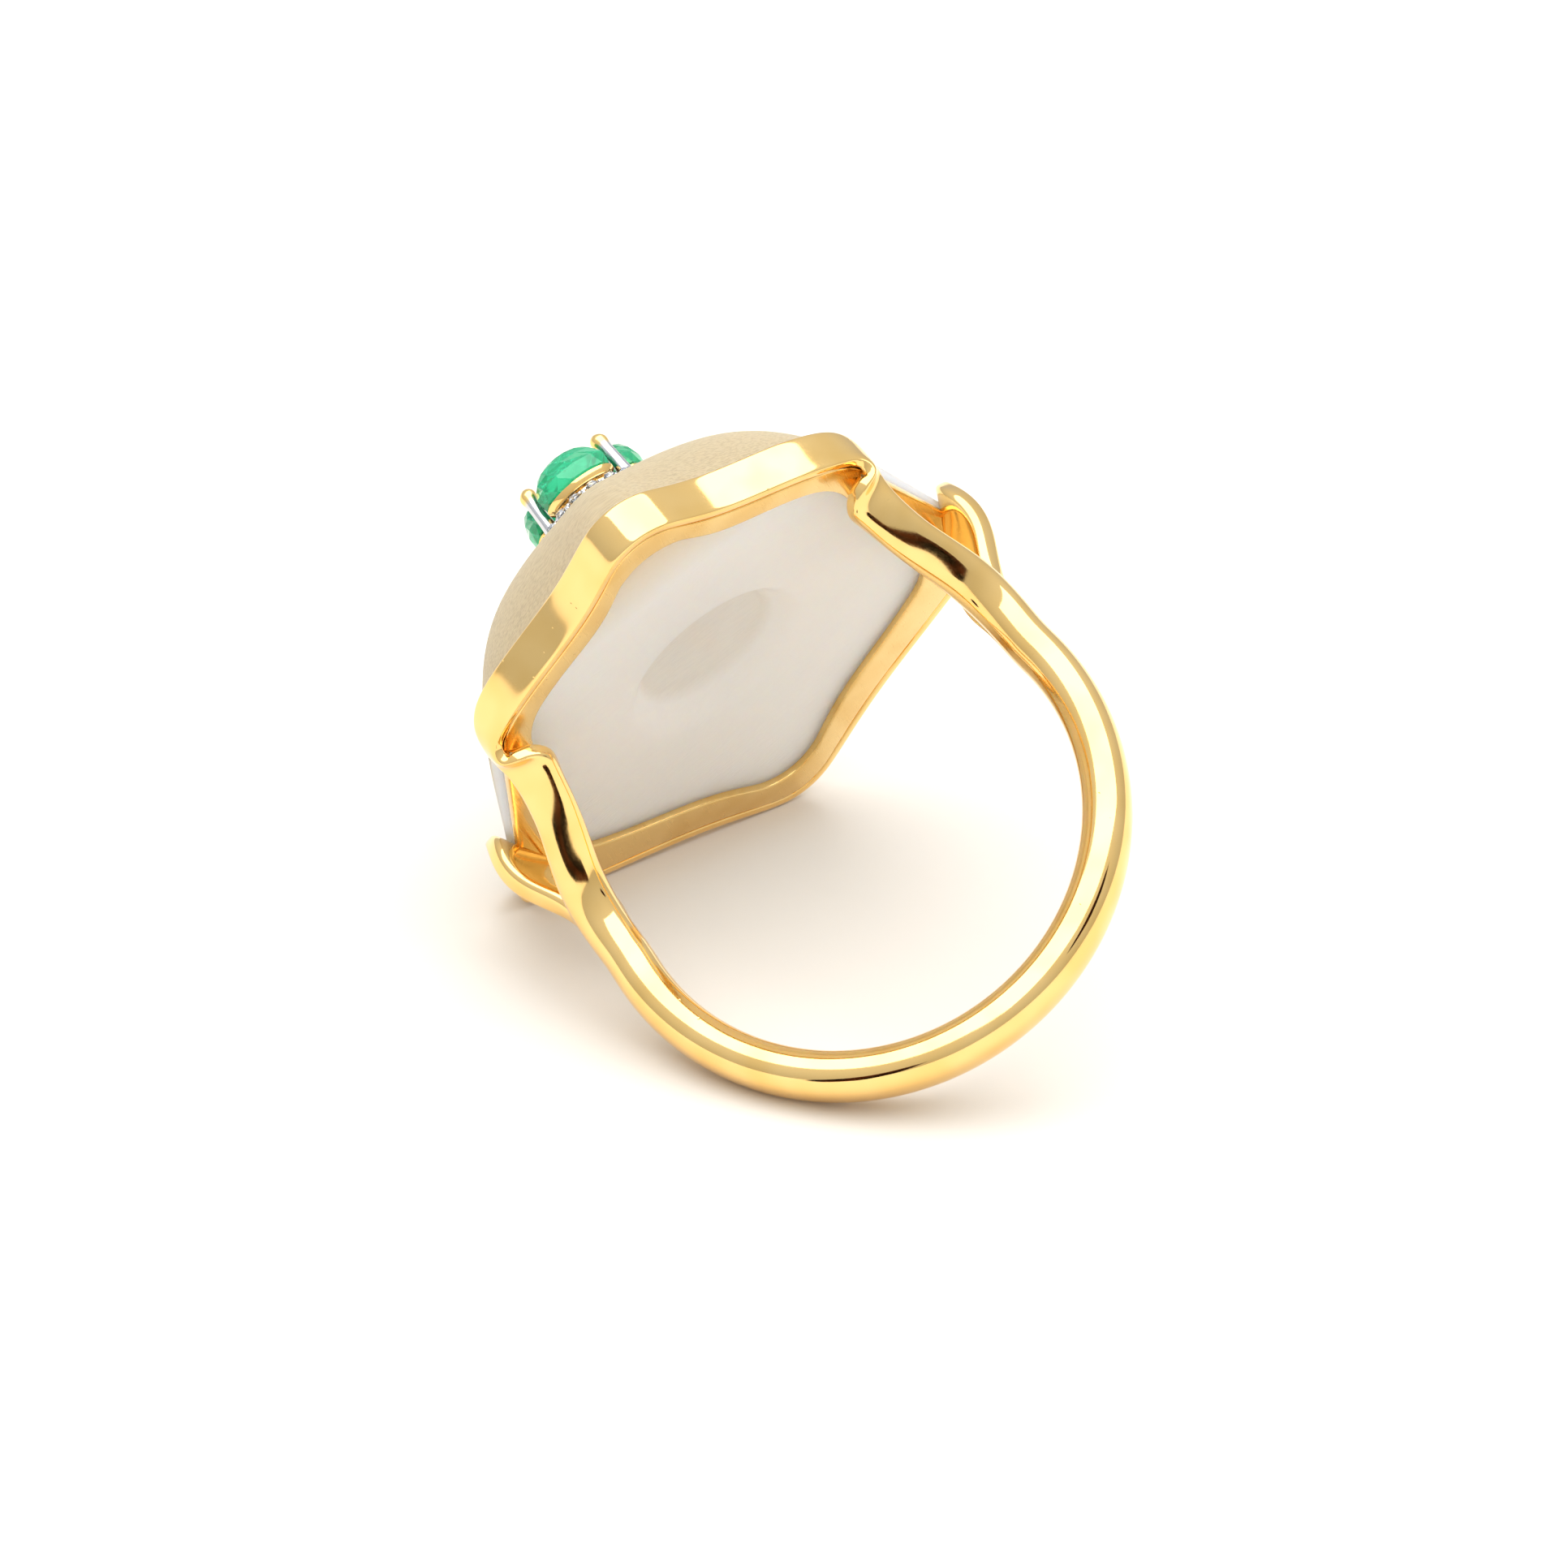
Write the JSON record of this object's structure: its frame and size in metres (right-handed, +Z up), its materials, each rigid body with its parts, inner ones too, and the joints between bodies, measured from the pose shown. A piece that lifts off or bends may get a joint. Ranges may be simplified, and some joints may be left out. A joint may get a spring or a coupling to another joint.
{
  "type": "cocktail ring",
  "caption": "Gold cocktail ring: split-shoulder shank, six-sided bezel, domed rock crystal and an emerald and diamond cluster.",
  "frame": {"origin": "centre of the finger hole", "axes": "+Z up through the middle of the head, +Y along the finger from the front of the ring to its back, +X across the finger"},
  "size_m": [0.0232, 0.0266, 0.0293],
  "materials": {
    "yellow_gold": "polished 18 carat yellow gold",
    "white_gold": "rhodium-plated white gold",
    "rock_crystal": "finely ground, frosted rock crystal",
    "emerald": "faceted, polished emerald",
    "diamond": "faceted, polished diamond"
  },
  "bodies": {
    "root": {"bezel_seat": "yellow_gold", "bezel_wall_back": "yellow_gold", "bezel_wall_front": "yellow_gold", "centre_collet": "yellow_gold", "centre_diamond": "diamond", "claw_back_left": "white_gold", "claw_back_right": "white_gold", "claw_front_left": "white_gold", "claw_front_right": "white_gold", "cluster_plate": "white_gold", "cluster_post": "yellow_gold", "crystal_dome": "rock_crystal", "emerald_back": "emerald", "emerald_cup_back": "yellow_gold", "emerald_cup_front": "yellow_gold", "emerald_cup_left": "yellow_gold", "emerald_cup_right": "yellow_gold", "emerald_front": "emerald", "emerald_left": "emerald", "emerald_right": "emerald", "pave_diamond_01": "diamond", "pave_diamond_02": "diamond", "pave_diamond_03": "diamond", "pave_diamond_04": "diamond", "pave_diamond_05": "diamond", "pave_diamond_06": "diamond", "pave_diamond_07": "diamond", "pave_diamond_08": "diamond", "pave_diamond_09": "diamond", "pave_diamond_10": "diamond", "pave_diamond_11": "diamond", "pave_diamond_12": "diamond", "pave_diamond_13": "diamond", "pave_diamond_14": "diamond", "pave_diamond_15": "diamond", "pave_diamond_16": "diamond", "pave_diamond_17": "diamond", "pave_diamond_18": "diamond", "pave_diamond_19": "diamond", "pave_diamond_20": "diamond", "pave_diamond_21": "diamond", "pave_diamond_22": "diamond", "pave_diamond_23": "diamond", "pave_diamond_24": "diamond", "shank_hoop": "yellow_gold", "shoulder_back_left": "yellow_gold", "shoulder_back_right": "yellow_gold", "shoulder_front_left": "yellow_gold", "shoulder_front_right": "yellow_gold"}
  },
  "joints": []
}
